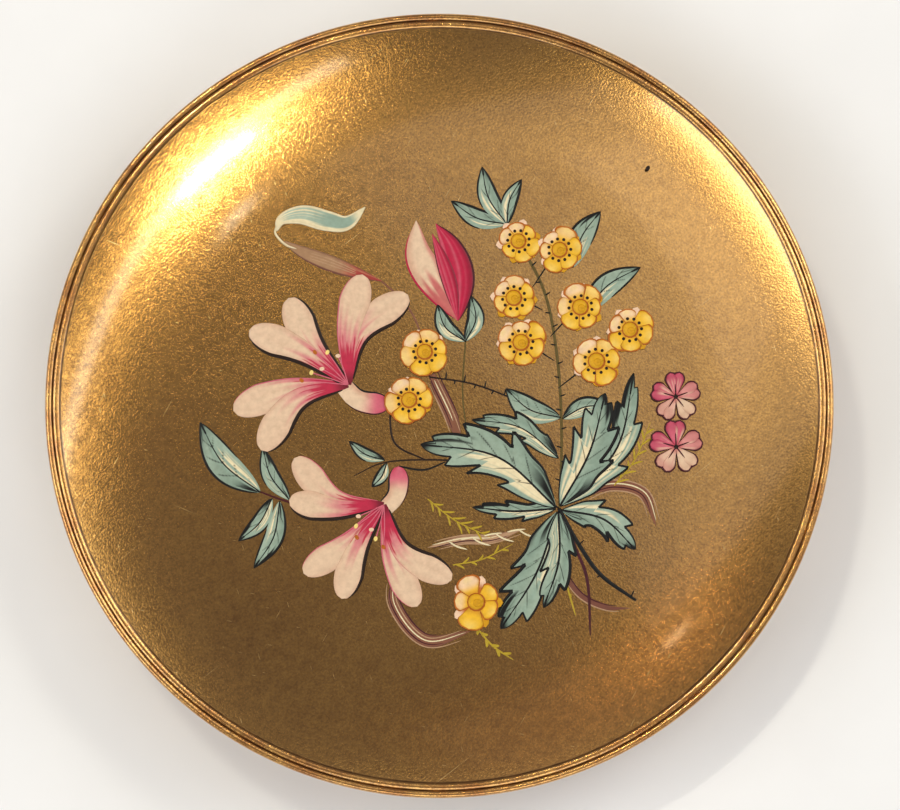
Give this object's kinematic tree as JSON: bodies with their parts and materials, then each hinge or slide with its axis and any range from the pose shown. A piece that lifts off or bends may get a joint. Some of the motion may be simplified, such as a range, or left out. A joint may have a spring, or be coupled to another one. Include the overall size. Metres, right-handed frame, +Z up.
{
  "type": "powder compact",
  "caption": "Round hinged brass compact with a domed painted lid, inside mirror, self-opening inner lid, powder well, sifter, puff and a thumb catch.",
  "frame": {"origin": "centre of the flat foot, on the table", "axes": "+Z up through the closed compact, +Y towards the hinge, -Y towards the thumb catch, +X to the right seen from above with the hinge at the top"},
  "size_m": [0.082, 0.082, 0.0134],
  "materials": {
    "lid_brass": "satin brass under clear lacquer, finely scratched and tarnished, with a painted floral spray",
    "base_brass": "satin brass with an engine-turned underside",
    "polished_brass": "polished brass",
    "hinge_brass": "worn brass",
    "rivet_brass": "polished brass",
    "spring_steel": "bright spring steel",
    "mirror": "silvered glass with a ground edge",
    "card": "grey board",
    "gauze": "fine silk gauze",
    "powder": "loose pressed-down face powder",
    "velour": "soft cotton velour",
    "satin_ribbon": "woven satin"
  },
  "bodies": {
    "base": {"base_shell": "base_brass", "base_collar": "polished_brass", "powder_well": "polished_brass", "base_hinge_leaf": "hinge_brass", "hinge_pin": "spring_steel", "inner_hinge_bracket": "hinge_brass", "inner_hinge_pin": "spring_steel", "bracket_rivets": "rivet_brass", "lift_spring": "spring_steel", "sifter_ring": "polished_brass", "sifter_gauze": "gauze", "loose_powder": "powder", "powder_puff": "velour", "puff_ribbon": "satin_ribbon", "catch_guide": "spring_steel", "catch_spring": "spring_steel"},
    "lid": {"lid_shell": "lid_brass", "lid_hinge_leaf": "hinge_brass", "lid_strike": "spring_steel", "mirror": "mirror", "mirror_card": "card", "mirror_frame": "polished_brass"},
    "inner_lid": {"inner_lid": "polished_brass", "inner_lid_hinge_leaf": "hinge_brass", "inner_lid_rivets": "rivet_brass", "inner_lid_tab": "hinge_brass"},
    "thumb_catch": {"catch_button": "polished_brass", "catch_slide": "spring_steel", "catch_rivet": "rivet_brass"}
  },
  "joints": [
    {"name": "lid_hinge", "type": "hinge", "parent": "base", "child": "lid", "pos_m": [0, 0.03965, 0.007], "axis": [-1, 0, 0], "range_deg": [0, 105]},
    {"name": "inner_lid_hinge", "type": "hinge", "parent": "base", "child": "inner_lid", "pos_m": [0, 0.037, 0.0088], "axis": [-1, 0, 0], "range_deg": [0, 84]},
    {"name": "catch_press", "type": "slide", "parent": "base", "child": "thumb_catch", "axis": [0, 1, 0], "range_m": [0, 0.0007], "stiffness_N_per_m": 400, "deforming": ["catch_spring"]}
  ],
  "couplings": [
    {"joint": "inner_lid_hinge", "follows": "lid_hinge", "ratio": 0.8}
  ]
}
